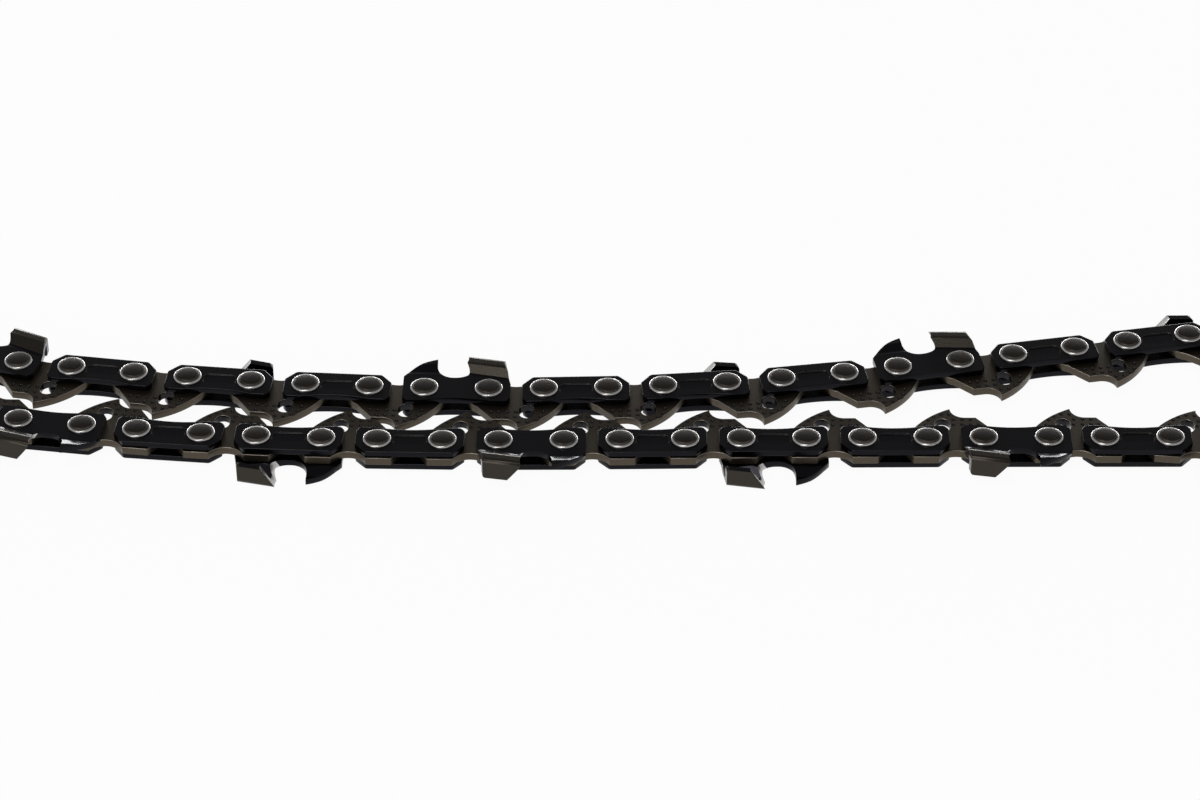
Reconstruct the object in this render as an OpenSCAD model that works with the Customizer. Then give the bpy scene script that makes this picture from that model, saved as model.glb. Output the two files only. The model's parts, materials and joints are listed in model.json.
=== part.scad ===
// Low-profile 3/8 inch saw chain, a closed loop lying on its side.
// Millimetres, +Z up. Each link is drawn in its own frame: x along the chain with the trailing
// end at +x, y away from the guide bar, z across the chain with z = 0 in the middle plane.

/* [Chain] */
// Rivet spacing within a side link
link_pitch = 10.04; // [10:0.01:10.1]
// Rivet spacing within a drive link
drive_pitch = 8.6; // [8.56:0.01:8.62]
// Thickness of a drive link, the gauge of the bar groove
gauge = 1.3; // [1.1:0.05:1.6]
// Thickness of a tie strap or a cutter
plate_t = 1.0; // [0.9:0.05:1.2]
// Gap between a drive link and the plate beside it
side_gap = 0.05; // [0.03:0.01:0.08]

/* [Lay of the loop] */
// Place of the root drive link's middle
root_place = [127.5, -3.3]; // [-200:0.1:200]
// Direction from the root drive link's trailing rivet to its leading one, degrees
root_turn = -100.5; // [-180:0.1:180]
// Stretches from the root along the upper run: [rivets, bend towards the bar at each in degrees]
upper_stretches = [[2, 34], [1, 31.1], [1, 18], [1, -6], [5, -0.1], [6, -1.7], [8, -1.2],
    [3, -7], [1, 32.5], [1, 35.5]]; // [-10:0.1:38]
// Stretches from the root along the lower run
lower_stretches = [[1, 33.5], [1, 31.5], [1, 26.5], [2, -6], [9, -0.1], [4, 0.7], [5, 1.3],
    [3, -8], [1, 18.5], [1, 33.5]]; // [-10:0.1:38]

/* [Rivet] */
// Diameter of the hub that a drive link turns on
hub_d = 4.8; // [4.4:0.1:5]
// Radial clearance of the hub in its drive link
hub_fit = 0.05; // [0.03:0.01:0.1]
// Diameter of the shank in the plates
shank_d = 3.5; // [3:0.1:4]
// Diameter of the peened head
head_d = 4.4; // [4:0.1:4.8]
// Diameter of the head's flat top
head_top_d = 3.1; // [2.6:0.1:3.4]
// Height of the head over its plate
head_h = 0.85; // [0.6:0.05:0.9]

/* [Side plates] */
// Length of a tie strap
strap_l = 16.8; // [16.4:0.1:17]
// Edge of a tie strap away from the bar
strap_top = 3.1; // [2.6:0.1:3.2]
// Feet of a plate, towards the bar
foot = 3.1; // [2.9:0.1:3.2]
// Rise of the arc between the feet
foot_arch = 0.6; // [0.5:0.1:1.1]
// Length, width and depth of the shallow panel in a tie strap
panel = [5.3, 2.5, 0.2]; // [0.1:0.01:6]

/* [Cutter] */
// Half width of the cutter over its side plate
cutter_reach = 2.8; // [2.6:0.05:3]
// Height of the working corner over the rivet line
corner_y = 7.4; // [7.2:0.1:7.6]
// Place of the working corner along the chain
corner_x = 1.8; // [1.6:0.1:2]
// Slope of the top plate down towards its heel, degrees
top_slope = 11.5; // [8:0.5:12]
// Length of the top plate, from the working corner to the heel
top_l = 5.6; // [5:0.1:5.8]
// Angle that the leading edge is filed at, degrees
file_angle = 30; // [25:1:35]
// Radius of the file that hooks the leading edge
file_r = 2; // [1.8:0.1:2.2]
// How far the top plate reaches past the middle plane
top_overlap = 0.6; // [0.2:0.1:0.8]
// Radius of the round gullet
gullet_r = 2.6; // [2.4:0.05:2.7]
// Bottom of the gullet over the rivet line
gullet_floor = 2.7; // [2.6:0.05:3.1]
// Height of the depth gauge over the rivet line
gauge_y = 6.7; // [6.4:0.1:7]

/* [Drive link] */
// Radius of the round ends
lobe_r = 3.7; // [3.6:0.05:3.75]
// Flat lands over the rivets
land_y = 3.4; // [3.2:0.05:3.45]
// Reach of a land from its rivet, inwards and outwards
land_reach = [1.6, 2.3]; // [1.4:0.1:2.5]
// Bottom of the saddle between the lands
saddle_y = 1.9; // [1.8:0.1:2.1]
// Depth of the tang below the rivet line
tang_y = 8.6; // [8.2:0.1:8.7]
// Radius of the hook at the tang's leading side
hook_r = 2.2; // [2:0.1:2.3]
// Length and width of the oil hole
oil_hole = [2.8, 2.3]; // [2:0.1:3]
// Place of the oil hole from the link's middle
oil_hole_at = [1.7, -4.3]; // [-4.4:0.05:1.8]

/* [Hidden] */
$fn = 48;
LINKS = 30;                             // side links, and as many drive links
PINS = 2 * LINKS;
ROOT = 12;                              // the drive link in the middle of one end bend
UPPER_END = 2 * ROOT + 1;               // last pin of the upper run, at the root
OPEN_PIN = 55;                          // the pivot that the loop is opened at
RIVET_GAP = 0.01;                       // gap that keeps a rivet and its plates apart
SLACK = 1;                              // how far a tool reaches past what it cuts
plate_in = gauge / 2 + side_gap;        // inner and outer face of a plate
plate_out = plate_in + plate_t;
mid_z = cutter_reach;                   // the far cutters' outer faces rest on z = 0
shank_r = shank_d / 2 - RIVET_GAP;
strap_end = strap_l / 2;
foot_l = 3;                             // length of a plate's foot
foot_cut = [0.6, 0.85];                 // corner cut from a foot, along and across the plate
end_y = 1.2;                            // top of a plate's straight ends
shoulder_cut = 1.7;                     // long outer corner of a tie strap, along the strap
heel = [corner_x + top_l, corner_y - top_l * tan(top_slope)];
end_top = [strap_end - 0.4, 3];         // where a cutter's rear end starts to lean towards the heel
gullet_x = -0.6;                        // middle of the gullet
gullet_y = gullet_floor + gullet_r;
gauge_x = gullet_x - gullet_r;          // rear edge of the depth gauge
wing_y = 2.3;                           // bottom of what is bent out of the cutter's side plate
wing_x = -0.5;                          // where the gauge's bend ends and the top plate's starts
STEEL = [0.16, 0.16, 0.19];
BRONZE = [0.42, 0.37, 0.32];
SILVER = [0.72, 0.71, 0.69];

// Points on an arc about c, from angle a0 to a1
function arc(c, r, a0, a1, n = 8) =
    [for (i = [0 : n]) let (a = a0 + (a1 - a0) * i / n) c + r * [cos(a), sin(a)]];

// Points on the arc of radius r from a to b that bulges to the right of that way
function bow(a, b, r, n = 8) =
    let (d = b - a, l = norm(d), c = (a + b) / 2 + sqrt(r * r - l * l / 4) * [-d.y, d.x] / l,
        a0 = atan2(a.y - c.y, a.x - c.x), sweep = 2 * asin(l / 2 / r))
    arc(c, r, a0, a0 + sweep, n);

// Points of an open path whose inner corners are rounded, each by its own radius
function rounded(path, radii, n = 3) = concat([path[0]],
    [for (i = [1 : len(path) - 2])
        let (b = path[i], u = unit(path[i - 1] - b), v = unit(path[i + 1] - b), r = radii[i - 1],
            half = acos(u * v) / 2, c = b + unit(u + v) * r / sin(half), p = b + u * r / tan(half),
            start = atan2(p.y - c.y, p.x - c.x), side = sign(u.x * v.y - u.y * v.x))
        each r == 0 ? [b] : arc(c, r, start, start + side * (2 * half - 180), n)],
    [path[len(path) - 1]]);

function unit(v) = v / norm(v);

// Where circles about p and q meet, on the left of the way from p to q for side = 1
function meet(p, rp, q, rq, side) =
    let (d = norm(q - p), u = (q - p) / d, x = (d * d + rp * rp - rq * rq) / 2 / d)
    p + u * x + side * sqrt(rp * rp - x * x) * [-u.y, u.x];

// One bend for each rivet of a list of stretches
function spread(stretches) = [for (s = stretches) for (i = [1 : s[0]]) s[1]];

// Pins from start on, where the heading turns by side times each bend before a step.
// The first step is a side link, the next a drive link, and so on.
function course(start, heading, side, bends) =
    [for (i = 0, p = start, a = heading; i <= len(bends);
        a = a + side * (i < len(bends) ? bends[i] : 0),
        p = p + (i % 2 == 0 ? link_pitch : drive_pitch) * [cos(a), sin(a)],
        i = i + 1) p];

root_way = [cos(root_turn), sin(root_turn)];
upper = course(root_place - drive_pitch / 2 * root_way, root_turn + 180, 1, spread(upper_stretches));
lower = course(root_place + drive_pitch / 2 * root_way, root_turn, -1, spread(lower_stretches));
last_pin = meet(upper[len(upper) - 1], drive_pitch, lower[len(lower) - 1], link_pitch, -1);

// Place of pin i. Side link k lies between pins 2k and 2k + 1, drive link k between 2k + 1 and 2k + 2.
function pin(i) =
    let (j = i % PINS)
    j <= UPPER_END ? upper[UPPER_END - j]
    : j < OPEN_PIN ? lower[j - UPPER_END - 1]
    : j == OPEN_PIN ? last_pin
    : upper[UPPER_END + PINS - j];

function is_cutter(k) = k % 2 == 0;
function is_left(k) = k % 4 == 0;
function two(n) = str(n < 10 ? "0" : "", n);
function link_name(k) =
    str(is_cutter(k) ? (is_left(k) ? "left_cutter_link_" : "right_cutter_link_") : "tie_link_", two(k + 1));
function drive_name(k) = str("drive_link_", two(k + 1));

// Stands a child on the chain between pins a and b
module between(a, b) {
    way = pin(b) - pin(a);
    centre = (pin(a) + pin(b)) / 2;
    translate([centre.x, centre.y, mid_z])
        rotate([0, 0, atan2(way.y, way.x)])
            children();
}

// Puts a child at both rivets of a side link
module at_rivets() {
    for (s = [-1, 1])
        translate([s * link_pitch / 2, 0, 0])
            children();
}

// Cuts a plate profile to its thickness on the +z side, with both rivet holes
module drilled_plate() {
    difference() {
        translate([0, 0, plate_in])
            linear_extrude(plate_t)
                children();
        at_rivets()
            translate([0, 0, plate_in - plate_t])
                cylinder(d = shank_d, h = 3 * plate_t);
    }
}

// The arc between the feet of a plate
module foot_arc() {
    half = strap_end - foot_l;
    r = (half * half + foot_arch * foot_arch) / 2 / foot_arch;
    translate([0, foot_arch - foot - r])
        circle(r, $fn = 160);
}

// The feet and ends of a plate's outline
plate_base = [[-strap_end, foot_cut.y - foot], [foot_cut.x - strap_end, -foot],
    [strap_end - foot_cut.x, -foot], [strap_end, foot_cut.y - foot], [strap_end, end_y]];

// Tie strap with long outer corners, two feet and a shallow panel
module tie_strap() {
    shoulder = strap_end - shoulder_cut;
    panel_r = 1;
    difference() {
        drilled_plate()
            difference() {
                polygon(concat(plate_base,
                    [[shoulder, strap_top], [-shoulder, strap_top], [-strap_end, end_y]]));
                foot_arc();
            }
        translate([0, 0, plate_out - panel.z])
            linear_extrude(plate_t)
                round_panel(panel.x, panel.y, panel_r);
    }
}

// Rectangle with round corners, from squares and circles
module round_panel(l, w, r) {
    square([l - 2 * r, w], center = true);
    square([l, w - 2 * r], center = true);
    for (x = [-1, 1], y = [-1, 1])
        translate([x * (l / 2 - r), y * (w / 2 - r)])
            circle(r);
}

// Side view of a cutter, without its gullet
module cutter_outline() {
    gauge_tip = [gauge_x, gauge_y];
    nose = [-strap_end, 2.9];
    nose_r = 9.7;
    polygon(concat(plate_base, [end_top, heel, [corner_x, corner_y]], bow(gauge_tip, nose, nose_r)));
}

// Section of the cutting part, drawn with x away from the bar and y across the chain:
// a side plate that flares out, a round corner and the top plate over the chain
module cutter_section() {
    flare_y = 3.7;
    wall_y = 5.5;
    inner = cutter_reach - plate_t;
    under = corner_y - plate_t;
    bend = plate_t * tan(atan((cutter_reach - plate_out) / (wall_y - flare_y)) / 2);
    polygon(rounded(
        [[0, plate_out], [flare_y, plate_out], [wall_y, cutter_reach], [corner_y, cutter_reach],
            [corner_y, -top_overlap], [under, -top_overlap], [under, inner], [wall_y + bend, inner],
            [flare_y + bend, plate_in], [0, plate_in]],
        [1, 1, 0.8, 0, 0, 0.3, 0.6, 0.6]));
}

// Section of the depth gauge, which leans outward
module gauge_section() {
    lean = 0.5;
    top = gauge_y + 1;
    bend_r = 1.5;
    polygon(rounded(
        [[0, plate_out], [3.9, plate_out], [5.6, plate_out + lean], [top, plate_out + lean],
            [top, plate_in + lean], [5.7, plate_in + lean], [4, plate_in], [0, plate_in]],
        [bend_r, bend_r, 0, 0, bend_r, bend_r]));
}

// Runs a section along the chain from x0 to x1
module along(x0, x1) {
    translate([x0, 0, 0])
        rotate([90, 0, 90])
            linear_extrude(x1 - x0)
                children();
}

// Round bar held at the file's angle, whose rear side passes x at the cutter's outer face
module file(r, x, y) {
    translate([x - r / cos(file_angle), y, cutter_reach])
        rotate([0, -file_angle, 0])
            cylinder(r = r, h = strap_l, center = true);
}

// What is filed and punched away: the gullet, its slanting rear face and the hooked leading edge
module filed_away() {
    file_y = corner_y + 0.4 * file_r - file_r;
    over = corner_y - file_y;
    hook = (file_r - sqrt(file_r * file_r - over * over)) / cos(file_angle);
    translate([gullet_x, gullet_y, -SLACK])
        cylinder(r = gullet_r, h = cutter_reach + 2 * SLACK);
    translate([gauge_x, gullet_y, -SLACK])
        cube([corner_x - gauge_x - 0.5, corner_y - gullet_floor, cutter_reach + 2 * SLACK]);
    intersection() {
        file(gullet_r, gullet_x + gullet_r, gullet_y);
        translate([gullet_x, 0, -SLACK])
            cube([strap_l, 2 * corner_y, cutter_reach + 2 * SLACK]);
    }
    file(file_r, corner_x + hook, file_y);
}

// Plan of the top plate, whose rear corners are round and whose rear side follows the heel
module top_plan() {
    corner_r = 0.45;
    lean = atan((end_top.x - heel.x) / (heel.y - end_top.y));
    translate([heel.x, heel.y, 0])
        rotate([0, 0, lean])
            rotate([90, 0, 0])
                linear_extrude(strap_l, center = true)
                    translate([-strap_l / 2, (cutter_reach - top_overlap) / 2])
                        round_panel(strap_l, cutter_reach + top_overlap, corner_r);
}

// The flared wall and top plate, with the slope of the top plate
module top_wing() {
    intersection() {
        translate([corner_x, corner_y, 0])
            rotate([0, 0, -top_slope])
                translate([0, -corner_y, 0])
                    along(-strap_end, strap_end)
                        cutter_section();
        translate([wing_x, wing_y, -SLACK])
            cube([strap_l, corner_y, cutter_reach + 2 * SLACK]);
        top_plan();
    }
}

// The depth gauge
module gauge_wing() {
    intersection() {
        along(-strap_l, 0)
            gauge_section();
        translate([wing_x - strap_l, wing_y, -SLACK])
            cube([strap_l, corner_y, cutter_reach + 2 * SLACK]);
    }
}

// Cutter: side plate with depth gauge, gullet, swept top plate and heel
module cutter() {
    plate_top = 3.6;
    difference() {
        union() {
            drilled_plate()
                difference() {
                    intersection() {
                        cutter_outline();
                        translate([-strap_l / 2, -foot])
                            square([strap_l, foot + plate_top]);
                    }
                    foot_arc();
                }
            intersection() {
                union() {
                    top_wing();
                    gauge_wing();
                }
                translate([0, 0, -SLACK])
                    linear_extrude(cutter_reach + 2 * SLACK)
                        cutter_outline();
            }
        }
        filed_away();
    }
}

// Half section of a peened head: a rounded ring and a raised disc with sloping sides
function head_profile() =
    let (base = plate_out + RIVET_GAP, ring_h = 0.3, ring_w = 0.25, top = plate_out + head_h, bevel = 0.08,
        disc_r = head_top_d / 2)
    [[head_d / 2, base], [head_d / 2, base + ring_h - bevel], [head_d / 2 - bevel, base + ring_h],
        [head_d / 2 - ring_w, base + ring_h], [disc_r + bevel, top - bevel], [disc_r - bevel, top], [0, top]];

// Whole rivet: a hub between the plates, a shank in each and a peened head outside
module rivet() {
    hub_z = plate_in - RIVET_GAP;
    side = concat([[hub_d / 2, 0], [hub_d / 2, hub_z], [shank_r, hub_z], [shank_r, plate_out + RIVET_GAP]],
        head_profile());
    rotate_extrude()
        polygon(concat([for (i = [len(side) - 1 : -1 : 1]) [side[i].x, -side[i].y]], side));
}

// Half rivet without a hub, for the pivot that the loop is opened at
module half_rivet() {
    rotate_extrude()
        polygon(concat([[0, plate_in], [shank_r, plate_in], [shank_r, plate_out + RIVET_GAP]], head_profile()));
}

// Both rivets of side link k
module rivets(k) {
    for (i = [0, 1])
        translate([(i - 0.5) * link_pitch, 0, 0])
            if (2 * k + i == OPEN_PIN) {
                half_rivet();
                mirror([0, 0, 1])
                    half_rivet();
            } else {
                rivet();
            }
}

// Side link k: two plates and the two rivets that hold them
module side_link(k) {
    between(2 * k, 2 * k + 1) {
        color(STEEL)
            mirror([0, 0, is_left(k) || !is_cutter(k) ? 0 : 1]) {
                if (is_cutter(k))
                    cutter();
                else
                    tie_strap();
                mirror([0, 0, 1])
                    tie_strap();
            }
        color(SILVER)
            rivets(k);
    }
}

// Side view of a drive link: round ends, lands, saddle, hooked tang and oil hole
module drive_outline() {
    half = drive_pitch / 2;
    flank = half + lobe_r - 0.05;
    flank_y = 1.4;
    land_end = half + land_reach[1];
    tip = [0.3, -tang_y];
    hook = [tip.x - hook_r, tip.y];
    lead = [-6.2, -3.1];
    toe = [-3.6, hook.y + hook_r];
    toe_end = hook.x - 0.1;
    tail = [6.5, -3.3];
    tail_r = 14;
    saddle_half = half - land_reach[0];
    rise = land_y - saddle_y;
    saddle_r = (saddle_half * saddle_half + rise * rise) / 2 / rise;
    difference() {
        union() {
            for (s = [-1, 1])
                translate([s * half, 0])
                    circle(lobe_r, $fn = 72);
            polygon(concat(
                [[flank, 0], [flank, flank_y], [land_end, land_y], [-land_end, land_y], [-flank, flank_y],
                    [-flank, 0], lead, toe, [toe_end, toe.y], [toe_end, tip.y]],
                bow(tip, tail, tail_r),
                [[half + 3.1, -1.8]]));
        }
        translate([-half - lobe_r, land_y])
            square([drive_pitch + 2 * lobe_r, lobe_r]);
        translate([0, saddle_y + saddle_r])
            circle(saddle_r, $fn = 72);
        translate(hook)
            circle(hook_r, $fn = 72);
        translate(oil_hole_at) {
            for (s = [-1, 1])
                translate([0, s * (oil_hole.x - oil_hole.y) / 2])
                    circle(d = oil_hole.y);
            square([oil_hole.y, oil_hole.x - oil_hole.y], center = true);
        }
    }
}

// Drive link k with its two bores
module drive_link(k) {
    color(BRONZE)
        between(2 * k + 1, 2 * k + 2)
            difference() {
                translate([0, 0, -gauge / 2])
                    linear_extrude(gauge)
                        drive_outline();
                for (s = [-1, 1])
                    translate([s * drive_pitch / 2, 0, -gauge])
                        cylinder(d = hub_d + 2 * hub_fit, h = 2 * gauge);
            }
}

for (k = [0 : LINKS - 1]) {
    side_link(k);
    drive_link(k);
}
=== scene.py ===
"""Saw chain lying on its side: finished plates, cutters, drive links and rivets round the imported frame."""
import json
import math

import bmesh
import bpy
from mathutils import Matrix, Vector


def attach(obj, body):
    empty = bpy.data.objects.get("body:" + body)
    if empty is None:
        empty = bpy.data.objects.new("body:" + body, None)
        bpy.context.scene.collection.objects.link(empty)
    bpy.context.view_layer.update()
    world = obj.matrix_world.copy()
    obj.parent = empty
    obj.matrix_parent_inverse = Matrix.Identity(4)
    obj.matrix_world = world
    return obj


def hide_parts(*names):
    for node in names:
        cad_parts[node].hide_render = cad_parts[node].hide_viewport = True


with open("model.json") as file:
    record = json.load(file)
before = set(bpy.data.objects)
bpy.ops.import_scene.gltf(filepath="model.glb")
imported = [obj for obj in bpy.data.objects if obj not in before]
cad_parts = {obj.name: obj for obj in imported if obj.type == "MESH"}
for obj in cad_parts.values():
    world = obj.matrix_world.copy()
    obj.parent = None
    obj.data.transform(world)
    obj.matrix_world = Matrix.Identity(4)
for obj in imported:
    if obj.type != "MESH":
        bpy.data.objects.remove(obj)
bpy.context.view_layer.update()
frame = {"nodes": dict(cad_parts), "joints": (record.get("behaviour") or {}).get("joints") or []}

MM = 0.001

# Sizes are in millimetres and angles in degrees. In a link, x runs from its front rivet to its rear
# one, y out of the loop and z up, and the origin lies midway between the two rivets.

# Chain
LINKS = 30                      # side links, and as many drive links
PIN_COUNT = 2 * LINKS
OPEN_PIN = 55                   # index of rivet 56, at which the loop is opened
LINK_PITCH = 10.04              # between the rivets of a side link
DRIVE_PITCH = 8.6               # between the rivets of a drive link
GAUGE = 1.3                     # thickness of a drive link
PLATE_IN = 0.7                  # height of a side plate's inner face
PLATE_OUT = 1.7                 # height of its outer face

# Tie strap
STRAP_END = 8.4
STRAP_TOP = 3.1
FOOT = 3.1                      # reach of the feet into the loop
FOOT_L = 3                      # length of a foot
FOOT_ARCH = 0.6                 # height of the arch between the feet
FOOT_CUT = (0.6, 0.85)          # corner cut from a foot
END_Y = 1.2                     # top of the straight ends
SHOULDER_CUT = 1.7              # long top corner, along the strap
CORNER_R = 0.7
CORNER_STEPS = 4
LEAST_CUT_BACK = 0.01           # a rounding starts at least this far from its corner
MOST_CUT_BACK = 0.45            # and at most this share of the shorter side
STRAP_RIM = 0.12                # radius of the worn rims
PANEL = (5.3, 2.5, 0.25)        # length, width and depth of the stamped panel
PANEL_CORNER = 1.0
PANEL_RIM = 0.18
PANEL_OVER = 0.6                # how far the panel's cutter stands out of the strap

# Rivet
SHANK_R = 1.75
HUB_R = 2.4
HEAD_R = 2.2
RING_H = 0.40                   # height of a head's ring above the plate
DISC_R = 1.72                   # raised disc within the ring
HEAD_H = 0.7                    # height of the disc's rim above the plate
DOME_H = 0.13                   # rise of the disc's middle above its rim
STEP_OUT = 0.17                 # the dark step round the disc reaches this far out
STEP_IN = 0.04                  # and this far in
SEAT_GAP = 0.01                 # between a rivet and the plates
SHANK_STEPS = 32
LATHE_STEPS = 48

# Drive link
BORE_R = 2.45
BORE_STEPS = 40
LOBE_R = 3.7                    # round each bore
FLANK_CUT = 0.05                # cut off a lobe by the straight flank
FLANK_Y = 1.4                   # top of the flank
LAND_Y = 3.4                    # height of the flat lands by the bores
LAND_IN = 1.6                   # reach of a land from its bore to the middle
LAND_OUT = 2.3                  # and to the end
SADDLE_Y = 1.9                  # lowest point of the hollow between the lands
TANG_Y = 8.6                    # reach of the tang into the loop
TANG_X = 0.3                    # place of its tip
HOOK_R = 2.2                    # hollow in front of the tip
TOE_X = -3.6                    # where the flat in front of the hollow begins
LEAD_TURN = 241                 # where the front lobe ends and the way to the toe begins
BELLY_R = 14                    # curved back of the tang
TAIL = (6.5, -3.3)              # where that back ends
TAIL_TURN = -45.3               # where the rear lobe begins
DRIVE_RIM = 0.09
OIL_HOLE = (1.7, -4.3)
OIL_R = 1.18
OIL_UP = 0.25                   # from OIL_HOLE to the centres of its two round ends
OIL_DOWN = 0.6
OIL_REACH = 1.9                 # the hole's walls lie within this of OIL_HOLE
DIMPLES = ([(x, -4.6) for x in (0, -1.35, -2.7, -3.9)]
           + [(x, -5.85) for x in (-0.1, -1.45, -2.75)]
           + [(0.5, -7.15), (1.75, -7.15), (2.95, -6.6), (3.8, -5.75), (4.25, -4.45)])
DIMPLE_DEPTH = 0.18
DIMPLE_REACH = 0.42             # a dimple's faces lie within this of its middle
PUNCH_R = 0.45

# Cutter
GULLET_X = -0.6                 # middle of the gullet
FILED_END = 5                   # the filed faces end before this x
FILED_Y = 3                     # and lie above this y
WING_X = 0.4                    # where the brown finish of the wing begins
WING_Y = 3.9
CREST_Y = 5.6                   # the top plate lies above this
CREST_Z = 0.2                   # and its free edge under this
TIP_REACH = 0.6                 # how far the filed face is drawn forward
TIP_RISE = (3.0, 5.5)           # heights over which that grows
TIP_GROW = (GULLET_X, 1.2)      # stretch behind the gullet over which it grows
TIP_FADE = (2.5, 6.8)           # and stretch towards the heel over which it fades
EDGE_BEVEL = 0.06
EDGE_TURN = 38                  # sharper edges are bevelled

# Meshes
WELD = 0.002
CAD_WELD = 0.0005
SHORTEST_EDGE = 0.08
STRAIGHT_TURN = 1.5             # faces that turn less than this become one
FLAT_Z = 0.9998                 # a face this level is shaded flat
FLAT_AREA = 2.5                 # and so is one this large, in square millimetres
CREASE = 35                     # sharper edges stay sharp in the shading
RIVET_CREASE = 28

# Camera, placed in metres
CAMERA_ELEVATION = 37.6
CAMERA_DISTANCE = 0.648
CAMERA_TARGET = Vector((0.0054, -0.0023, 0.0028))
PHOTO_WIDTH = 1200              # pixels
PIXELS_PER_MM = 6.406           # of the photograph, at the target
SENSOR_MM = 36.0
CLIP_START = 0.01


# Places of the rivets

def pin_places():
    """Rivet centres by number; the open one is a pitch away from each of its two neighbours."""
    places = {}
    for joint in frame["joints"]:
        number = int(joint["name"].rsplit("_", 1)[1])
        places[number - 1] = Vector(joint["pos_m"])
    before = places[OPEN_PIN - 1]
    after = places[(OPEN_PIN + 1) % PIN_COUNT]
    gap = (before - after).length
    along = (before - after) / gap
    to_after = DRIVE_PITCH * MM
    to_before = LINK_PITCH * MM
    x = (gap * gap + to_after * to_after - to_before * to_before) / (2 * gap)
    side = Vector((along.y, -along.x, 0)) * math.sqrt(to_after * to_after - x * x)
    places[OPEN_PIN] = after + along * x + side
    return places


PINS = pin_places()


def between(a, b):
    """Turn and place of the link that has rivet a in front and rivet b at its rear."""
    front = PINS[a % PIN_COUNT]
    rear = PINS[b % PIN_COUNT]
    way = rear - front
    turn = Matrix.Rotation(math.atan2(way.y, way.x), 4, "Z")
    return Matrix.Translation((front + rear) / 2) @ turn


# Outlines

def arc(centre, radius, start, end, steps):
    """Points on an arc."""
    points = []
    for i in range(steps + 1):
        a = math.radians(start + (end - start) * i / steps)
        points.append((centre[0] + radius * math.cos(a), centre[1] + radius * math.sin(a)))
    return points


def ring(centre, radius, steps):
    """Points round a whole circle."""
    return arc(centre, radius, 0, 360 - 360 / steps, steps - 1)


def bow(a, b, radius, steps):
    """Arc from a to b that bulges to the right of that way."""
    dx = b[0] - a[0]
    dy = b[1] - a[1]
    length = math.hypot(dx, dy)
    off = math.sqrt(radius * radius - length * length / 4)
    centre = ((a[0] + b[0]) / 2 - off * dy / length, (a[1] + b[1]) / 2 + off * dx / length)
    start = math.degrees(math.atan2(a[1] - centre[1], a[0] - centre[0]))
    sweep = math.degrees(2 * math.asin(length / 2 / radius))
    return arc(centre, radius, start, start + sweep, steps)


def rounded(points, radius):
    """The closed outline with its corners rounded; a corner with too little room stays."""
    out = []
    for i, p in enumerate(points):
        corner = Vector(p)
        to_last = Vector(points[i - 1]) - corner
        to_next = Vector(points[(i + 1) % len(points)]) - corner
        half = to_last.angle(to_next) / 2
        back = radius / math.tan(half)
        if back < LEAST_CUT_BACK or back > MOST_CUT_BACK * min(to_last.length, to_next.length):
            out.append(p)
            continue
        to_last.normalize()
        to_next.normalize()
        centre = corner + (to_last + to_next).normalized() * radius / math.sin(half)
        start = corner + to_last * back - centre
        end = corner + to_next * back - centre
        first = math.degrees(math.atan2(start.y, start.x))
        sweep = math.degrees(start.angle_signed(end))
        out += arc(centre, radius, first, first - sweep, CORNER_STEPS)
    return out


def rounded_box(length, width, radius, steps):
    """Rectangle round the origin with rounded corners."""
    x = length / 2 - radius
    y = width / 2 - radius
    points = []
    for quarter, corner in enumerate([(x, y), (-x, y), (-x, -y), (x, -y)]):
        points += arc(corner, radius, 90 * quarter, 90 * quarter + 90, steps)
    return points


def strap_outline():
    """Tie strap: an arch between two feet, straight ends and long top corners."""
    half = STRAP_END - FOOT_L
    r = (half * half + FOOT_ARCH * FOOT_ARCH) / 2 / FOOT_ARCH
    sweep = math.degrees(math.asin(half / r))
    foot_x = STRAP_END - FOOT_CUT[0]
    foot_y = FOOT_CUT[1] - FOOT
    top_x = STRAP_END - SHOULDER_CUT
    corners = ([(-STRAP_END, foot_y), (-foot_x, -FOOT)]
               + arc((0, FOOT_ARCH - FOOT - r), r, 90 + sweep, 90 - sweep, 16)
               + [(foot_x, -FOOT), (STRAP_END, foot_y), (STRAP_END, END_Y)]
               + [(top_x, STRAP_TOP), (-top_x, STRAP_TOP), (-STRAP_END, END_Y)])
    return rounded(corners, CORNER_R)


def drive_outline():
    """Drive link: the saddle, the front lobe, the hooked tang, its back and the rear lobe."""
    half = DRIVE_PITCH / 2
    flank = half + LOBE_R - FLANK_CUT
    flank_turn = math.degrees(math.acos((LOBE_R - FLANK_CUT) / LOBE_R))
    land_end = half + LAND_OUT
    saddle_half = half - LAND_IN
    rise = LAND_Y - SADDLE_Y
    saddle_r = (saddle_half ** 2 + rise ** 2) / 2 / rise
    dip = math.degrees(math.asin(saddle_half / saddle_r))
    tip = (TANG_X, -TANG_Y)
    hook = (TANG_X - HOOK_R, -TANG_Y)
    toe = (TOE_X, HOOK_R - TANG_Y)
    return (arc((0, SADDLE_Y + saddle_r), saddle_r, 270 + dip, 270 - dip, 16)
            + [(-land_end, LAND_Y), (-flank, FLANK_Y)]
            + arc((-half, 0), LOBE_R, 180 - flank_turn, LEAD_TURN, 16)
            + [toe] + arc(hook, HOOK_R, 90, 0, 12)
            + bow(tip, TAIL, BELLY_R, 10)[1:]
            + arc((half, 0), LOBE_R, TAIL_TURN, flank_turn, 12)
            + [(flank, FLANK_Y), (land_end, LAND_Y)])


def oil_hole():
    """Oval hole between the bores and the tang's tip."""
    x, y = OIL_HOLE
    upper = arc((x, y + OIL_UP), OIL_R, 0, 180, 12)
    lower = arc((x, y - OIL_DOWN), OIL_R, 180, 360, 12)
    return upper + lower


def bores(pitch, radius, steps):
    """The two rivet holes of a plate."""
    return [ring((side * pitch / 2, 0), radius, steps) for side in (-1, 1)]


# Meshes, all in a link's own millimetres until they are placed

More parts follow.
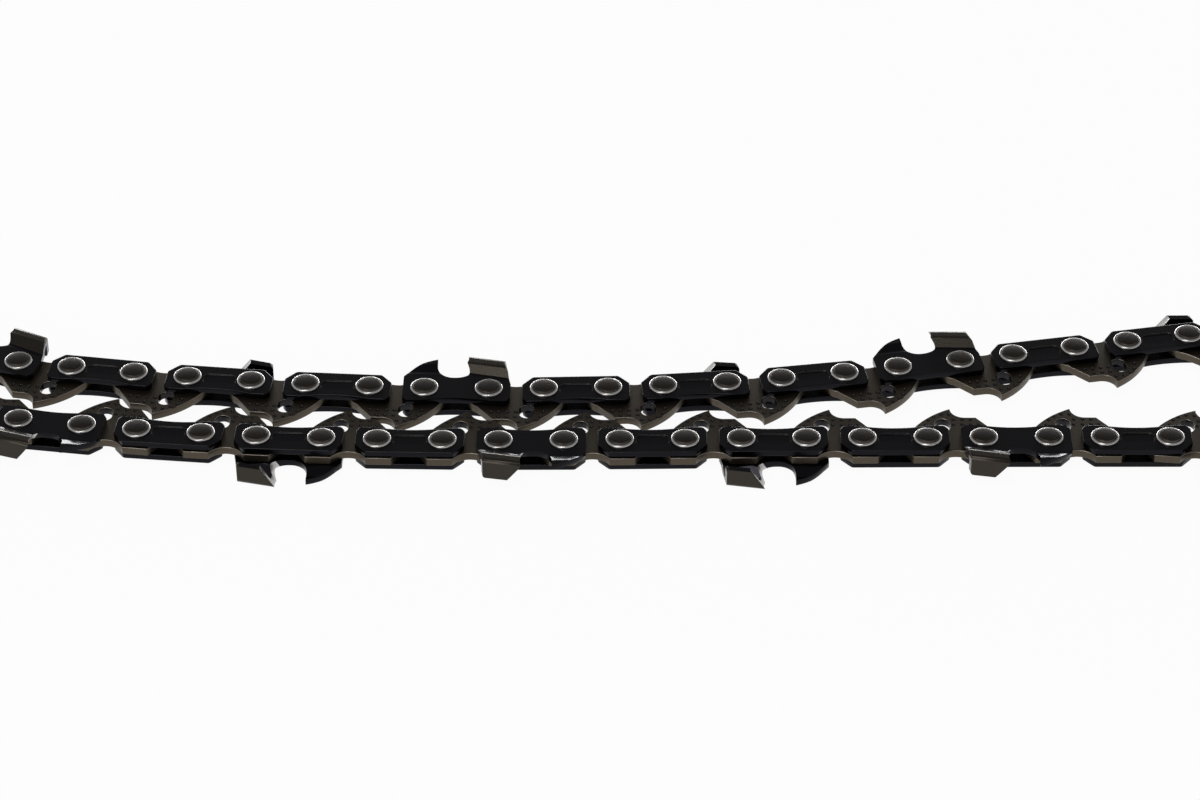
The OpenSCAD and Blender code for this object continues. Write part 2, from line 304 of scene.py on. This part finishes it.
def new_object(name, data):
    """An object of the scene for a mesh, curve, lamp or camera."""
    obj = bpy.data.objects.new(name, data)
    bpy.context.scene.collection.objects.link(obj)
    return obj


def mesh_of(obj):
    """Final mesh of a helper object, which is then removed."""
    bpy.context.view_layer.update()
    deps = bpy.context.evaluated_depsgraph_get()
    mesh = bpy.data.meshes.new_from_object(obj.evaluated_get(deps))
    data = obj.data
    bpy.data.objects.remove(obj)
    if isinstance(data, bpy.types.Curve):
        bpy.data.curves.remove(data)
    return mesh


def flat_piece(outlines, z0, z1, rim):
    """Flat plate from an outline and its holes, with rounded rims."""
    curve = bpy.data.curves.new("outline", "CURVE")
    curve.dimensions = "2D"
    curve.fill_mode = "BOTH"
    curve.extrude = (z1 - z0) / 2 - rim
    curve.bevel_depth = rim
    curve.bevel_resolution = 2
    curve.offset = -rim
    for points in outlines:
        spline = curve.splines.new("POLY")
        spline.points.add(len(points) - 1)
        for p, (x, y) in zip(spline.points, points):
            p.co = (x, y, 0, 1)
        spline.use_cyclic_u = True
    mesh = mesh_of(new_object("outline", curve))
    mesh.transform(Matrix.Translation((0, 0, (z0 + z1) / 2)))
    clean(mesh)
    return mesh


def clean(mesh):
    """Welds points that meet and turns all faces outwards."""
    bm = bmesh.new()
    bm.from_mesh(mesh)
    bmesh.ops.remove_doubles(bm, verts=bm.verts, dist=WELD)
    bmesh.ops.recalc_face_normals(bm, faces=bm.faces)
    bm.to_mesh(mesh)
    bm.free()


def lathe(profile):
    """Solid of revolution about z from (radius, height) points, the first and last on the axis."""
    bm = bmesh.new()
    rows = []
    for r, z in profile:
        circle = ring((0, 0), r, LATHE_STEPS) if r > 0 else [(0, 0)]
        rows.append([bm.verts.new((x, y, z)) for x, y in circle])
    for low, high in zip(rows, rows[1:]):
        for i in range(LATHE_STEPS):
            j = (i + 1) % LATHE_STEPS
            corners = [low[i % len(low)], low[j % len(low)], high[j % len(high)], high[i % len(high)]]
            bm.faces.new(list(dict.fromkeys(corners)))
    bmesh.ops.recalc_face_normals(bm, faces=bm.faces)
    mesh = bpy.data.meshes.new("lathe")
    bm.to_mesh(mesh)
    bm.free()
    return mesh


def cut(mesh, cutter):
    """The mesh less the cutter."""
    body = new_object("body", mesh)
    tool = new_object("tool", cutter)
    mod = body.modifiers.new("cut", "BOOLEAN")
    mod.operation = "DIFFERENCE"
    mod.solver = "EXACT"
    mod.object = tool
    result = mesh_of(body)
    bpy.data.objects.remove(tool)
    return result


def join(meshes):
    """One mesh of several."""
    bm = bmesh.new()
    for m in meshes:
        bm.from_mesh(m)
    out = bpy.data.meshes.new("joined")
    bm.to_mesh(out)
    bm.free()
    return out


def mirrored(mesh):
    """The same part for the far side of the chain."""
    out = mesh.copy()
    out.transform(Matrix.Scale(-1, 4, (0, 0, 1)))
    out.flip_normals()
    return out


def paint(mesh, materials, choose):
    """Gives each face the one of the materials that choose(face) picks."""
    mesh.materials.clear()
    for m in materials:
        mesh.materials.append(m)
    for f in mesh.polygons:
        f.material_index = materials.index(choose(f))


def shade(mesh, crease=CREASE):
    """Smooth, with edges sharper than the crease kept, and with flat faces left flat."""
    bm = bmesh.new()
    bm.from_mesh(mesh)
    limit = math.radians(crease)
    for f in bm.faces:
        f.smooth = abs(f.normal.z) < FLAT_Z and f.calc_area() < FLAT_AREA
    for e in bm.edges:
        e.smooth = len(e.link_faces) == 2 and e.calc_face_angle(math.pi) < limit
    bm.to_mesh(mesh)
    bm.free()


# Materials; noise scales are per millimetre, the unit of a piece's own coordinates

DRIFT_SCALE = 180               # coarser part of the colour
GRAIN_SCALE = 2700              # finer part of it, the gloss and the bumps
GRAIN_SHARE = 0.35              # the finer part's share of the colour
NOISE_RANGE = (0.3, 0.7)        # where most of a noise's values lie
FILE_MARKS = (9000, 9000, 600)
BUMP_H = 0.02


def new_material(name):
    """A node material with its nodes, its links and its shader."""
    mat = bpy.data.materials.new(name)
    mat.use_nodes = True
    tree = mat.node_tree
    return mat, tree.nodes, tree.links, tree.nodes["Principled BSDF"]


def noise(nodes, links, coords, scale, detail, rough):
    """Value of a noise over the coordinates."""
    n = nodes.new("ShaderNodeTexNoise")
    n.inputs["Scale"].default_value = scale
    n.inputs["Detail"].default_value = detail
    n.inputs["Roughness"].default_value = rough
    links.new(coords, n.inputs["Vector"])
    return n.outputs["Fac"]


def worked_out(nodes, links, operation, *values):
    """Result of one Math operation on plain numbers and other nodes' values."""
    node = nodes.new("ShaderNodeMath")
    node.operation = operation
    for socket, value in zip(node.inputs, values):
        if isinstance(value, bpy.types.NodeSocket):
            links.new(value, socket)
        else:
            socket.default_value = value
    return node.outputs[0]


def ramp(nodes, links, value, stops):
    """Colour by value, from (value, colour) stops."""
    r = nodes.new("ShaderNodeValToRGB")
    links.new(value, r.inputs["Fac"])
    while len(r.color_ramp.elements) < len(stops):
        r.color_ramp.elements.new(0.5)
    for e, (at, colour) in zip(r.color_ramp.elements, stops):
        e.position = at
        e.color = (*colour, 1)
    return r.outputs["Color"]


def bumpy(nodes, links, bsdf, height, strength):
    """Gives the surface small bumps."""
    bumps = nodes.new("ShaderNodeBump")
    bumps.inputs["Strength"].default_value = strength
    bumps.inputs["Distance"].default_value = BUMP_H * MM
    links.new(height, bumps.inputs["Height"])
    links.new(bumps.outputs[0], bsdf.inputs["Normal"])


def steel(name, metal, rough, bump, stops):
    """Oxidised or bare steel: colour from a drift and a grain, gloss and bumps from the grain."""
    mat, nodes, links, bsdf = new_material(name)
    coords = nodes.new("ShaderNodeTexCoord").outputs["Object"]
    drift = noise(nodes, links, coords, DRIFT_SCALE, detail=3, rough=0.55)
    grain = noise(nodes, links, coords, GRAIN_SCALE, detail=6, rough=0.65)
    drift_part = worked_out(nodes, links, "MULTIPLY", drift, 1 - GRAIN_SHARE)
    tone = worked_out(nodes, links, "MULTIPLY_ADD", grain, GRAIN_SHARE, drift_part)
    links.new(ramp(nodes, links, tone, stops), bsdf.inputs["Base Color"])
    bsdf.inputs["Metallic"].default_value = metal
    gloss = nodes.new("ShaderNodeMapRange")
    gloss.inputs["From Min"].default_value = NOISE_RANGE[0]
    gloss.inputs["From Max"].default_value = NOISE_RANGE[1]
    gloss.inputs["To Min"].default_value = rough[0]
    gloss.inputs["To Max"].default_value = rough[1]
    links.new(grain, gloss.inputs["Value"])
    links.new(gloss.outputs[0], bsdf.inputs["Roughness"])
    bumpy(nodes, links, bsdf, grain, bump)
    return mat


def filed_steel():
    """Bright steel with the fine parallel marks of a file."""
    mat, nodes, links, bsdf = new_material("filed_steel")
    coords = nodes.new("ShaderNodeTexCoord").outputs["Object"]
    stretch = nodes.new("ShaderNodeMapping")
    stretch.inputs["Scale"].default_value = FILE_MARKS
    links.new(coords, stretch.inputs["Vector"])
    marks = noise(nodes, links, stretch.outputs[0], 1, detail=3, rough=0.5)
    tones = ramp(nodes, links, marks, [(0.3, (0.32, 0.31, 0.30)), (0.7, (0.68, 0.67, 0.65))])
    links.new(tones, bsdf.inputs["Base Color"])
    bsdf.inputs["Metallic"].default_value = 0.9
    bsdf.inputs["Roughness"].default_value = 0.32
    bumpy(nodes, links, bsdf, marks, 0.4)
    return mat


BLUED = steel("blued_steel", metal=0.95, rough=(0.13, 0.24), bump=0.2,
              stops=[(0.30, (0.006, 0.0063, 0.008)), (0.50, (0.010, 0.010, 0.0125)),
                     (0.72, (0.018, 0.017, 0.019))])
# slightly lighter steel of the strap rims; in the drive link's dimples and oil hole it is painted shade
BLUED_RIM_AND_HOLE_SHADE = steel("blued_rim_and_hole_shade", metal=0.95, rough=(0.20, 0.34), bump=0.2,
                   stops=[(0.30, (0.010, 0.010, 0.012)), (0.70, (0.034, 0.032, 0.034))])
TOP_PLATE = steel("cutter_plate", metal=0.92, rough=(0.20, 0.32), bump=0.2,
                  stops=[(0.30, (0.021, 0.018, 0.0145)), (0.70, (0.056, 0.048, 0.039))])
BRONZE = steel("bronzed_steel", metal=0.92, rough=(0.28, 0.42), bump=0.35,
               stops=[(0.28, (0.026, 0.020, 0.0145)), (0.50, (0.046, 0.036, 0.026)),
                      (0.74, (0.095, 0.075, 0.055))])
BRONZE_WALL = steel("sheared_wall", metal=0.9, rough=(0.28, 0.45), bump=0.4,
                    stops=[(0.30, (0.038, 0.031, 0.023)), (0.70, (0.115, 0.095, 0.071))])
# bare steel on the drive links' worn rims; on the tie straps it is a painted highlight round the stamped
# panel
WORN_RIM_AND_PANEL_HIGHLIGHT = steel("worn_rim_and_panel_highlight", metal=0.92, rough=(0.25, 0.40), bump=0.3,
                 stops=[(0.30, (0.18, 0.155, 0.13)), (0.70, (0.50, 0.45, 0.39))])
RIVET_RING = steel("rivet_ring", metal=0.97, rough=(0.15, 0.26), bump=0.15,
                   stops=[(0.30, (0.34, 0.325, 0.31)), (0.70, (0.66, 0.64, 0.62))])
RIVET_FACE = steel("rivet_face", metal=0.92, rough=(0.24, 0.36), bump=0.3,
                   stops=[(0.30, (0.018, 0.015, 0.013)), (0.70, (0.048, 0.040, 0.034))])
RIVET_SIDE = steel("rivet_side", metal=0.92, rough=(0.28, 0.42), bump=0.2,
                   stops=[(0.30, (0.03, 0.027, 0.025)), (0.70, (0.10, 0.09, 0.08))])
FILED = filed_steel()


# Pieces; a face's finish goes by its place and its normal, whose parts run from -1 to 1

WALL_UP = 0.3                   # a wall's normal has less than this of z
RIM_UP = 0.9                    # a strap's rim has more than a wall and less than this
FACE_UP = 0.93                  # a drive link's face has more than this
LEVEL_UP = 0.995                # and a level face more than this
LEAN = 0.25                     # a cutter's face leans a way if it has more than this of it
STEEP = 0.75                    # a filed face has less than this of z
UPRIGHT = 0.7                   # a face on top of the wing has more than this of y


def near_any(point, places, reach):
    """Whether one of the places is within reach of the point."""
    return any(math.hypot(point.x - x, point.y - y) < reach for x, y in places)


def tie_strap_mesh():
    """Tie strap with worn rims and its stamped panel, for the near side."""
    outlines = [strap_outline()] + bores(LINK_PITCH, SHANK_R, SHANK_STEPS)
    mesh = flat_piece(outlines, PLATE_IN, PLATE_OUT, STRAP_RIM)
    length, width, depth = PANEL
    panel = rounded_box(length, width, PANEL_CORNER, 6)
    mesh = cut(mesh, flat_piece([panel], PLATE_OUT - depth, PLATE_OUT + PANEL_OVER, PANEL_RIM))
    paint(mesh, [BLUED, BLUED_RIM_AND_HOLE_SHADE, WORN_RIM_AND_PANEL_HIGHLIGHT], strap_finish)
    shade(mesh)
    return mesh


def strap_finish(face):
    """Black faces, slightly lighter rims, and a painted highlight line round the stamped panel."""
    c = face.center
    up = abs(face.normal.z)
    reach = 0.1
    in_panel = abs(c.x) < PANEL[0] / 2 + reach and abs(c.y) < PANEL[1] / 2 + reach
    # painted highlight: the walls and rim of the stamped panel are coloured bright
    if in_panel and c.z > PLATE_OUT - reach and up < LEVEL_UP:
        return WORN_RIM_AND_PANEL_HIGHLIGHT
    return BLUED_RIM_AND_HOLE_SHADE if WALL_UP < up < RIM_UP else BLUED


def dimple_tool():
    """Round-nosed punches on both faces, to be cut from a drive link."""
    tools = []
    for x, y in DIMPLES:
        for side in (-1, 1):
            bm = bmesh.new()
            bmesh.ops.create_uvsphere(bm, u_segments=14, v_segments=10, radius=PUNCH_R)
            punch = bpy.data.meshes.new("punch")
            bm.to_mesh(punch)
            bm.free()
            punch.transform(Matrix.Translation((x, y, side * (GAUGE / 2 + PUNCH_R - DIMPLE_DEPTH))))
            tools.append(punch)
    return join(tools)


def drive_link_mesh():
    """Drive link with its oil hole, worn rims and punched dimples."""
    outlines = [drive_outline(), oil_hole()] + bores(DRIVE_PITCH, BORE_R, BORE_STEPS)
    mesh = flat_piece(outlines, -GAUGE / 2, GAUGE / 2, DRIVE_RIM)
    mesh = cut(mesh, dimple_tool())
    paint(mesh, [BRONZE, BRONZE_WALL, WORN_RIM_AND_PANEL_HIGHLIGHT, BLUED_RIM_AND_HOLE_SHADE], drive_finish)
    shade(mesh)
    return mesh


def drive_finish(face):
    """Oxidised faces, sheared walls with a worn rim, and dimples and oil hole painted black as shade."""
    c = face.center
    up = abs(face.normal.z)
    in_oil_hole = up < WALL_UP and near_any(c, [OIL_HOLE], OIL_REACH)
    in_dimple = up < LEVEL_UP and near_any(c, DIMPLES, DIMPLE_REACH)
    # painted shade: the walls of the oil hole and the dimples are coloured near black
    if in_oil_hole or in_dimple:
        return BLUED_RIM_AND_HOLE_SHADE
    if up < WALL_UP:
        return BRONZE_WALL
    return BRONZE if up > FACE_UP else WORN_RIM_AND_PANEL_HIGHLIGHT


def head_profile():
    """Half of a rivet head: a rounded ring, the step up to the disc, and the disc's low dome."""
    ring_part = [(HEAD_R, SEAT_GAP), (HEAD_R, 0.18), (HEAD_R - 0.03, 0.27), (HEAD_R - 0.09, 0.335),
                 (HEAD_R - 0.18, 0.375), (DISC_R + 0.20, RING_H), (DISC_R + 0.12, 0.385)]
    step = [(DISC_R + 0.04, 0.42), (DISC_R + 0.01, 0.50), (DISC_R - 0.02, 0.60), (DISC_R - 0.06, 0.665)]
    dome = [(DISC_R - 0.13, HEAD_H), (1.3, HEAD_H + 0.045), (0.9, HEAD_H + 0.09), (0.45, HEAD_H + 0.12),
            (0, HEAD_H + DOME_H)]
    return [(r, PLATE_OUT + height) for r, height in ring_part + step + dome]


def rivet_mesh(whole=True):
    """Rivet with its hub and two heads, or the near half of the open one, which has no hub."""
    shank = SHANK_R - SEAT_GAP
    hub_end = PLATE_IN - SEAT_GAP
    head = [(shank, PLATE_OUT + SEAT_GAP)] + head_profile()
    if whole:
        side = [(HUB_R, 0), (HUB_R, hub_end), (shank, hub_end)] + head
        profile = [(r, -z) for r, z in reversed(side[1:])] + side
    else:
        profile = [(0, PLATE_IN), (shank, PLATE_IN)] + head
    mesh = lathe(profile)
    paint(mesh, [RIVET_RING, RIVET_FACE, RIVET_SIDE], rivet_finish)
    shade(mesh, RIVET_CREASE)
    return mesh


def rivet_finish(face):
    """Bright ring, dark step and a brown disc."""
    r = math.hypot(face.center.x, face.center.y)
    if abs(face.center.z) < PLATE_OUT or r > DISC_R + STEP_OUT:
        return RIVET_RING
    return RIVET_SIDE if r > DISC_R - STEP_IN else RIVET_FACE


def cad_cutter():
    """The cutter's own solid, taken from the first left-hand link, in that link's millimetres."""
    bm = bmesh.new()
    bm.from_mesh(frame["nodes"]["left_cutter_link_01"].data)
    bm.transform(Matrix.Scale(1 / MM, 4) @ between(0, 1).inverted())
    bmesh.ops.remove_doubles(bm, verts=bm.verts, dist=CAD_WELD)
    tallest = max(shells(bm), key=lambda shell: max(v.co.y for v in shell))
    rest = [v for v in bm.verts if v not in tallest]
    bmesh.ops.delete(bm, geom=rest, context="VERTS")
    bmesh.ops.remove_doubles(bm, verts=bm.verts, dist=SHORTEST_EDGE)
    bmesh.ops.dissolve_limit(bm, angle_limit=math.radians(STRAIGHT_TURN), verts=bm.verts, edges=bm.edges)
    mesh = bpy.data.meshes.new("cutter")
    bm.to_mesh(mesh)
    bm.free()
    return mesh


def shells(bm):
    """Sets of joined vertices."""
    left = set(bm.verts)
    found = []
    while left:
        todo = [left.pop()]
        shell = set(todo)
        while todo:
            v = todo.pop()
            for e in v.link_edges:
                w = e.other_vert(v)
                if w in left:
                    left.remove(w)
                    shell.add(w)
                    todo.append(w)
        found.append(shell)
    return found


def cutter_mesh():
    """Cutter with softened edges; its filed faces are bright, its crown browner than its side plate."""
    mesh = cad_cutter()
    stretch_forward(mesh)
    obj = new_object("cutter", mesh)
    bevel = obj.modifiers.new("edges", "BEVEL")
    bevel.width = EDGE_BEVEL
    bevel.segments = 2
    bevel.limit_method = "ANGLE"
    bevel.angle_limit = math.radians(EDGE_TURN)
    mesh = mesh_of(obj)
    clean(mesh)
    paint(mesh, [BLUED, TOP_PLATE, FILED], cutter_finish)
    shade(mesh)
    return mesh


def smooth_step(low, high, value):
    """0 up to low, 1 from high on, and a smooth rise between them."""
    t = min(max((value - low) / (high - low), 0), 1)
    return t * t * (3 - 2 * t)


def stretch_forward(mesh):
    """Brings the filed face and the top plate's tip forward, fading out towards the plate and the heel."""
    for v in mesh.vertices:
        if v.co.x > GULLET_X:
            rise = smooth_step(*TIP_RISE, v.co.y)
            fade = 1 - smooth_step(*TIP_FADE, v.co.x)
            grow = smooth_step(*TIP_GROW, v.co.x)
            v.co.x -= TIP_REACH * rise * fade * grow


def cutter_finish(face):
    """Filed where the file has passed, browner outside on the wing, blued elsewhere."""
    c = face.center
    n = face.normal
    behind_gullet = GULLET_X < c.x < FILED_END and c.y > FILED_Y
    if behind_gullet and n.x < -LEAN and abs(n.z) < STEEP:
        return FILED
    on_wing = c.x > WING_X and c.y > WING_Y
    if on_wing and (n.z > LEAN or n.y > UPRIGHT):
        return TOP_PLATE
    free_edge = c.y > CREST_Y and c.z < CREST_Z and n.z < -LEAN and n.y > 0
    return TOP_PLATE if free_edge else BLUED


# Chain

def place(mesh, name, where, body):
    """Stands a piece, drawn in millimetres, on the chain and lets it ride on its link."""
    obj = new_object(name, mesh)
    obj.matrix_world = where @ Matrix.Scale(MM, 4)
    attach(obj, body)
    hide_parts(body)


def build_chain():
    """Makes each shape once and stands it on every link that has it."""
    strap = tie_strap_mesh()
    far_strap = mirrored(strap)
    left = cutter_mesh()
    right = mirrored(left)
    drive = drive_link_mesh()
    rivet = rivet_mesh()
    near_half = rivet_mesh(whole=False)
    far_half = mirrored(near_half)
    for k in range(LINKS):
        number = f"{k + 1:02d}"
        kind = "tie" if k % 2 else ("left_cutter" if k % 4 == 0 else "right_cutter")
        body = f"{kind}_link_{number}"
        where = between(2 * k, 2 * k + 1)
        near = left if kind == "left_cutter" else strap
        far = right if kind == "right_cutter" else far_strap
        near_name = "cutter" if kind == "left_cutter" else "near_strap"
        far_name = "cutter" if kind == "right_cutter" else "far_strap"
        place(near, f"{kind}_{number}_{near_name}", where, body)
        place(far, f"{kind}_{number}_{far_name}", where, body)
        for i, end in enumerate(("front", "rear")):
            name = f"{kind}_{number}_{end}_rivet"
            at = where @ Matrix.Translation(((i - 0.5) * LINK_PITCH * MM, 0, 0))
            if 2 * k + i == OPEN_PIN:
                place(near_half, f"{name}_near_half", at, body)
                place(far_half, f"{name}_far_half", at, body)
            else:
                place(rivet, name, at, body)
        drive_body = f"drive_link_{number}"
        place(drive, f"{drive_body}_blank", between(2 * k + 1, 2 * k + 2), drive_body)


build_chain()


# Stage, light and camera; sizes in metres

FLOOR_SIZE = 6
PAPER = (0.86, 0.86, 0.86, 1)
PAPER_GLOW = 0.95               # share of plain white where the paper is seen
WHITE = (1, 1, 1)
CEILING = (0.30, 0.30, 0.30)
WALL_TOP = 0.22                 # as the sine of its height, like the next
CEILING_START = 0.50


def make_floor():
    """White paper: it shows white where it is seen, also in the metal, and keeps a faint shadow."""
    bpy.ops.mesh.primitive_plane_add(size=FLOOR_SIZE, location=(0, 0, 0))
    floor = bpy.context.object
    floor.name = "floor"
    mat, nodes, links, bsdf = new_material("pale_floor")
    bsdf.inputs["Base Color"].default_value = PAPER
    bsdf.inputs["Roughness"].default_value = 0.9
    bsdf.inputs["Specular IOR Level"].default_value = 0.1
    path = nodes.new("ShaderNodeLightPath")
    seen = path.outputs["Is Camera Ray"]
    for name in ("Is Glossy Ray", "Is Transmission Ray"):
        seen = worked_out(nodes, links, "MAXIMUM", seen, path.outputs[name])
    share = worked_out(nodes, links, "MULTIPLY", seen, PAPER_GLOW)
    glow = nodes.new("ShaderNodeEmission")
    mix = nodes.new("ShaderNodeMixShader")
    links.new(share, mix.inputs["Fac"])
    links.new(bsdf.outputs[0], mix.inputs[1])
    links.new(glow.outputs[0], mix.inputs[2])
    links.new(mix.outputs[0], nodes["Material Output"].inputs["Surface"])
    floor.data.materials.append(mat)


def make_world():
    """Studio that is white up to about 13 degrees over the horizon and dims to its ceiling at 30."""
    world = bpy.data.worlds.new("studio")
    bpy.context.scene.world = world
    world.use_nodes = True
    nodes = world.node_tree.nodes
    links = world.node_tree.links
    way = nodes.new("ShaderNodeTexCoord").outputs["Generated"]
    split = nodes.new("ShaderNodeSeparateXYZ")
    links.new(way, split.inputs[0])
    stops = [(0, WHITE), (WALL_TOP, WHITE), (CEILING_START, CEILING), (1, CEILING)]
    shades = ramp(nodes, links, split.outputs["Z"], stops)
    links.new(shades, nodes["Background"].inputs["Color"])


def area_light(name, place_m, size, watts):
    """Rectangular lamp that points at the middle of the chain."""
    lamp = bpy.data.lights.new(name, "AREA")
    lamp.shape = "RECTANGLE"
    lamp.size = size[0]
    lamp.size_y = size[1]
    lamp.energy = watts
    obj = new_object(name, lamp)
    obj.location = place_m
    way = Vector((0, 0, 0)) - Vector(place_m)
    obj.rotation_euler = way.to_track_quat("-Z", "Y").to_euler()


def make_camera():
    """Camera that looks as the photograph does, along +Y and down."""
    cam = bpy.data.cameras.new("camera")
    cam.sensor_width = SENSOR_MM
    cam.lens = SENSOR_MM * PIXELS_PER_MM * CAMERA_DISTANCE / MM / PHOTO_WIDTH
    cam.clip_start = CLIP_START
    obj = new_object("camera", cam)
    elevation = math.radians(CAMERA_ELEVATION)
    back = Vector((0, -math.cos(elevation), math.sin(elevation)))
    obj.location = CAMERA_TARGET + back * CAMERA_DISTANCE
    obj.rotation_euler = (-back).to_track_quat("-Z", "Y").to_euler()
    bpy.context.scene.camera = obj


make_floor()
make_world()
area_light("softbox", place_m=(-0.10, -0.30, 0.85), size=(0.3, 0.3), watts=1.6)
area_light("front", place_m=(-0.45, -0.75, 0.45), size=(0.5, 0.4), watts=2)
area_light("back_strip", place_m=(0, 0.85, 0.08), size=(1.4, 0.14), watts=6)
make_camera()
bpy.context.scene.view_settings.view_transform = "Standard"
